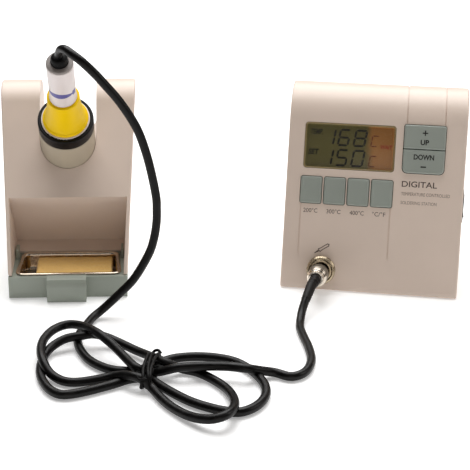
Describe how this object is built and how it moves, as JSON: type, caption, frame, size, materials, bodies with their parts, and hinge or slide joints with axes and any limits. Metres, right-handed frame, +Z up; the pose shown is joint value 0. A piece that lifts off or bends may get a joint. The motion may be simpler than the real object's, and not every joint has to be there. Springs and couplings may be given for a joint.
{
  "type": "soldering iron station",
  "caption": "Temperature-controlled soldering station: control unit with display and keys, iron stand with sponge drawer, and pencil iron on a tied flexible lead.",
  "frame": {"origin": "on the table, under the middle of the box round the stand, the iron and the control unit", "axes": "+X from the stand to the control unit, +Y towards the back, +Z up; the stand faces -Y"},
  "size_m": [0.3292, 0.2919, 0.1806],
  "materials": {
    "beige_plastic": "moulded warm white plastic, fine satin grain",
    "grey_green_plastic": "moulded grey-green plastic, satin",
    "lcd_glass": "clear window over a two-colour display",
    "lcd_frame": "display module",
    "black_plastic": "black moulded plastic",
    "circuit_board": "solder-masked board",
    "iron_laminations": "varnished iron",
    "copper_winding": "taped copper winding",
    "nickel": "nickel plate with a warm tint",
    "steel": "plain pressed steel",
    "rubber": "black rubber",
    "lead_jacket": "smooth black silicone-like jacket",
    "sleeve_metal": "dull grey sleeve",
    "sponge": "damp-cleaning cellulose sponge, tan",
    "yellow_plastic": "yellow moulded plastic, soft gloss",
    "white_plastic": "white moulded plastic with one blue band",
    "cap_grey": "grey plastic",
    "ceramic": "white ceramic"
  },
  "bodies": {
    "root": {"unit_case": "beige_plastic", "stand_body": "beige_plastic", "holder_tube": "beige_plastic", "rear_panel": "grey_green_plastic", "base_plate": "grey_green_plastic", "lcd_lens": "lcd_glass", "lcd_module": "lcd_frame", "switch_housing": "black_plastic", "mains_inlet": "black_plastic", "rocker_frame": "black_plastic", "fuse_holder": "black_plastic", "insulating_ring": "black_plastic", "main_board": "circuit_board", "transformer_core": "iron_laminations", "stand_weight": "iron_laminations", "transformer_winding": "copper_winding", "panel_socket": "nickel", "socket_nut": "steel", "case_screw_1": "steel", "case_screw_2": "steel", "case_screw_3": "steel", "case_screw_4": "steel", "tube_liner": "steel", "stand_screw_1": "steel", "stand_screw_2": "steel", "plug_clamp": "steel", "unit_foot_1": "rubber", "unit_foot_2": "rubber", "unit_foot_3": "rubber", "unit_foot_4": "rubber", "stand_foot_1": "rubber", "stand_foot_2": "rubber", "stand_foot_3": "rubber", "stand_foot_4": "rubber", "lead_tie": "rubber", "plug_boot": "rubber", "lead_iron_run": "lead_jacket", "lead_bundle": "lead_jacket", "lead_plug_run": "lead_jacket", "plug_body": "sleeve_metal"},
    "preset_button_1_body": {"preset_button_1": "grey_green_plastic"},
    "preset_button_2_body": {"preset_button_2": "grey_green_plastic"},
    "preset_button_3_body": {"preset_button_3": "grey_green_plastic"},
    "preset_button_4_body": {"preset_button_4": "grey_green_plastic"},
    "up_key_body": {"up_key": "grey_green_plastic"},
    "down_key_body": {"down_key": "grey_green_plastic"},
    "rocker": {"power_rocker": "black_plastic"},
    "drawer": {"sponge_drawer": "grey_green_plastic"},
    "dish": {"sponge_dish": "steel", "sponge": "sponge"},
    "iron": {"iron_tip": "nickel", "iron_barrel": "steel", "barrel_nut": "steel", "heater": "ceramic", "iron_grip": "yellow_plastic", "iron_handle": "white_plastic", "handle_cap": "cap_grey", "strain_boot": "black_plastic"},
    "coupling_ring": {"plug_ring": "nickel"},
    "fuse_cap_body": {"fuse_cap": "black_plastic"}
  },
  "joints": [
    {"name": "preset_button_1_press", "type": "slide", "parent": "root", "child": "preset_button_1_body", "axis": [0.1914, 0.9242, -0.3305], "range_m": [0, 0.0012], "stiffness_N_per_m": 400},
    {"name": "preset_button_2_press", "type": "slide", "parent": "root", "child": "preset_button_2_body", "axis": [0.1914, 0.9242, -0.3305], "range_m": [0, 0.0012], "stiffness_N_per_m": 400},
    {"name": "preset_button_3_press", "type": "slide", "parent": "root", "child": "preset_button_3_body", "axis": [0.1914, 0.9242, -0.3305], "range_m": [0, 0.0012], "stiffness_N_per_m": 400},
    {"name": "preset_button_4_press", "type": "slide", "parent": "root", "child": "preset_button_4_body", "axis": [0.1914, 0.9242, -0.3305], "range_m": [0, 0.0012], "stiffness_N_per_m": 400},
    {"name": "up_key_press", "type": "slide", "parent": "root", "child": "up_key_body", "axis": [0.1914, 0.9242, -0.3305], "range_m": [0, 0.0012], "stiffness_N_per_m": 400},
    {"name": "down_key_press", "type": "slide", "parent": "root", "child": "down_key_body", "axis": [0.1914, 0.9242, -0.3305], "range_m": [0, 0.0012], "stiffness_N_per_m": 400},
    {"name": "power_rocker_tilt", "type": "hinge", "parent": "root", "child": "rocker", "pos_m": [0.15175, -0.02279, 0.052], "axis": [0.2028, 0.9792, 0], "range_deg": [0, 14]},
    {"name": "drawer_slide", "type": "slide", "parent": "root", "child": "drawer", "axis": [0, -1, 0], "range_m": [0, 0.022]},
    {"name": "dish_lift", "type": "slide", "parent": "drawer", "child": "dish", "axis": [0, 0, 1], "range_m": [0, 0.02]},
    {"name": "iron_lift", "type": "slide", "parent": "root", "child": "iron", "axis": [0, -0.6334, 0.7738], "range_m": [0, 0.04], "deforming": ["lead_iron_run"]},
    {"name": "plug_ring_turn", "type": "hinge", "parent": "root", "child": "coupling_ring", "pos_m": [0.05612, -0.04369, 0.01397], "axis": [-0.1914, -0.9242, 0.3305], "continuous": true},
    {"name": "fuse_cap_turn", "type": "hinge", "parent": "root", "child": "fuse_cap_body", "pos_m": [0.14012, 0.02955, 0.03], "axis": [0.2028, 0.9792, 0], "range_deg": [0, 90]}
  ]
}
